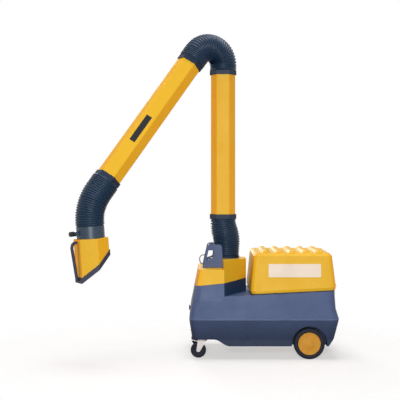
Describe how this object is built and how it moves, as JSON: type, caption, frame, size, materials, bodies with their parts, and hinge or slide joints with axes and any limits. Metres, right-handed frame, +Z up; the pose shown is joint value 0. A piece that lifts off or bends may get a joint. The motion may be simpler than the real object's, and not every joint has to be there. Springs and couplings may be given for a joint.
{
  "type": "mobile fume extractor",
  "caption": "Wheeled filter trolley with a jointed extraction arm: hexagonal tubes, ribbed hoses at base, elbow and wrist, and a slanted hood with a damper, to draw off fumes at a bench.",
  "frame": {"origin": "on the floor under the middle of the whole machine's box, arm included", "axes": "+Z up, +X to the trolley's rear, +Y to its right-hand side; the arm points to -X and -Y"},
  "size_m": [2.1464, 1.101, 2.6242],
  "materials": {
    "slate_plastic": "moulded slate-blue plastic with a fine grain",
    "yellow_plastic": "moulded yellow plastic, satin gloss",
    "yellow_tube": "yellow powder coat on an aluminium extrusion",
    "hose_rubber": "navy ribbed hose",
    "navy_plastic": "navy moulded plastic",
    "black_rubber": "dark rubber",
    "tyre_rubber": "solid dark tyre",
    "black_plastic": "black moulded plastic",
    "dark_rod": "dark coated steel rod",
    "zinc": "zinc-plated steel",
    "link_steel": "plain steel",
    "sheet_steel": "galvanised sheet",
    "motor_paint": "painted motor casting",
    "filter_paper": "pleated filter paper"
  },
  "bodies": {
    "trolley": {"body_housing": "slate_plastic", "belly_pan": "slate_plastic", "turret_cover": "yellow_plastic", "lid_seal": "black_rubber", "lid_hinge": "zinc", "handle_plate_left": "slate_plastic", "handle_plate_right": "slate_plastic", "handle_grip": "black_rubber", "cable_hook": "dark_rod", "mains_inlet": "black_plastic", "filter_cartridge": "filter_paper", "filter_bulkhead": "sheet_steel", "fan_scroll": "sheet_steel", "fan_motor": "motor_paint", "intake_duct": "sheet_steel", "rear_axle": "zinc", "caster_plate_left": "zinc", "caster_plate_right": "zinc"},
    "lid": {"lid_shell": "yellow_plastic"},
    "switch": {"main_switch": "black_plastic"},
    "fan": {"impeller": "sheet_steel"},
    "rear_wheel_left": {"rear_tyre_left": "tyre_rubber", "rear_rim_left": "black_plastic", "hub_cap_left": "yellow_plastic"},
    "rear_wheel_right": {"rear_tyre_right": "tyre_rubber", "rear_rim_right": "black_plastic", "hub_cap_right": "yellow_plastic"},
    "caster_left": {"caster_fork_left": "zinc"},
    "caster_right": {"caster_fork_right": "zinc"},
    "caster_roller_left": {"caster_wheel_left": "tyre_rubber"},
    "caster_roller_right": {"caster_wheel_right": "tyre_rubber"},
    "brake_left": {"brake_pedal_left": "zinc"},
    "brake_right": {"brake_pedal_right": "zinc"},
    "slewing_base": {"turntable": "navy_plastic", "base_yoke": "link_steel", "base_hose": "hose_rubber"},
    "lower_arm": {"lower_tube": "yellow_tube", "lower_cuff_foot": "navy_plastic", "lower_cuff_head": "navy_plastic", "base_lug": "link_steel", "elbow_lug_lower": "link_steel", "elbow_hose_lower": "hose_rubber"},
    "elbow": {"elbow_link": "link_steel"},
    "upper_arm": {"upper_tube": "yellow_tube", "upper_cuff_foot": "navy_plastic", "upper_cuff_head": "navy_plastic", "elbow_lug_upper": "link_steel", "wrist_lug": "link_steel", "elbow_hose_upper": "hose_rubber", "wrist_hose_upper": "hose_rubber"},
    "wrist": {"wrist_knuckle": "link_steel"},
    "hood_neck": {"neck_fork": "navy_plastic", "wrist_hose_lower": "hose_rubber"},
    "hood": {"damper_collar": "navy_plastic", "hood_shell": "yellow_plastic", "hood_rim": "black_rubber", "hood_handle": "navy_plastic", "hood_guard": "link_steel"},
    "damper": {"damper_plate": "link_steel", "damper_knob": "black_plastic"}
  },
  "joints": [
    {"name": "lid_open", "type": "hinge", "parent": "trolley", "child": "lid", "pos_m": [1.05916, 0.14546, 0.58017], "axis": [0, -1, 0], "range_deg": [-95, 0]},
    {"name": "switch_turn", "type": "hinge", "parent": "trolley", "child": "switch", "pos_m": [0.00016, 0.14546, 0.716], "axis": [0, 0, 1], "range_deg": [0, 90]},
    {"name": "fan_spin", "type": "hinge", "parent": "trolley", "child": "fan", "pos_m": [0.61946, 0.14546, 0.345], "axis": [1, 0, 0], "continuous": true},
    {"name": "rear_wheel_left_spin", "type": "hinge", "parent": "trolley", "child": "rear_wheel_left", "pos_m": [0.83016, -0.20454, 0.125], "axis": [0, 1, 0], "continuous": true},
    {"name": "rear_wheel_right_spin", "type": "hinge", "parent": "trolley", "child": "rear_wheel_right", "pos_m": [0.83016, 0.49546, 0.125], "axis": [0, 1, 0], "continuous": true},
    {"name": "caster_left_swivel", "type": "hinge", "parent": "trolley", "child": "caster_left", "pos_m": [-0.02984, -0.14454, 0.1544], "axis": [0, 0, 1], "continuous": true},
    {"name": "caster_right_swivel", "type": "hinge", "parent": "trolley", "child": "caster_right", "pos_m": [-0.02984, 0.43546, 0.1544], "axis": [0, 0, 1], "continuous": true},
    {"name": "caster_left_roll", "type": "hinge", "parent": "caster_left", "child": "caster_roller_left", "pos_m": [-0.06284, -0.14454, 0.0625], "axis": [0, 1, 0], "continuous": true},
    {"name": "caster_right_roll", "type": "hinge", "parent": "caster_right", "child": "caster_roller_right", "pos_m": [-0.06284, 0.43546, 0.0625], "axis": [0, 1, 0], "continuous": true},
    {"name": "brake_left_press", "type": "hinge", "parent": "caster_left", "child": "brake_left", "pos_m": [-0.04684, -0.14454, 0.133], "axis": [0, 1, 0], "range_deg": [-8, 0]},
    {"name": "brake_right_press", "type": "hinge", "parent": "caster_right", "child": "brake_right", "pos_m": [-0.04684, 0.43546, 0.133], "axis": [0, 1, 0], "range_deg": [-8, 0]},
    {"name": "arm_slew", "type": "hinge", "parent": "trolley", "child": "slewing_base", "pos_m": [0.17316, 0.14546, 0.8], "axis": [0, 0, 1], "continuous": true},
    {"name": "base_tilt", "type": "hinge", "parent": "slewing_base", "child": "lower_arm", "pos_m": [0.15859, 0.13772, 0.9605], "axis": [0.4695, -0.8829, 0], "range_deg": [-20, 12], "deforming": ["base_hose"]},
    {"name": "elbow_lower", "type": "hinge", "parent": "lower_arm", "child": "elbow", "pos_m": [0.15483, 0.13572, 2.48359], "axis": [0.4695, -0.8829, 0], "range_deg": [-45, 3], "deforming": ["elbow_hose_lower"]},
    {"name": "elbow_upper", "type": "hinge", "parent": "elbow", "child": "upper_arm", "pos_m": [-0.04174, 0.0312, 2.55938], "axis": [0.4695, -0.8829, 0], "range_deg": [-45, 3], "deforming": ["elbow_hose_upper"]},
    {"name": "wrist_pitch", "type": "hinge", "parent": "upper_arm", "child": "wrist", "pos_m": [-0.92131, -0.43647, 1.24575], "axis": [-0.4695, 0.8829, 0], "range_deg": [-40, 40], "deforming": ["wrist_hose_upper"]},
    {"name": "wrist_tilt", "type": "hinge", "parent": "wrist", "child": "hood_neck", "pos_m": [-0.92131, -0.43647, 1.24575], "axis": [0.8808, 0.4683, 0.0698], "range_deg": [-35, 35], "deforming": ["wrist_hose_lower"]},
    {"name": "hood_turn", "type": "hinge", "parent": "hood_neck", "child": "hood", "pos_m": [-0.91131, -0.43116, 1.08386], "axis": [0.0616, 0.0327, -0.9976], "continuous": true},
    {"name": "damper_turn", "type": "hinge", "parent": "hood", "child": "damper", "pos_m": [-0.90811, -0.42945, 1.03198], "axis": [0.8808, 0.4683, 0.0698], "range_deg": [0, 90]}
  ],
  "couplings": [
    {"joint": "elbow_upper", "follows": "elbow_lower", "ratio": 1}
  ]
}
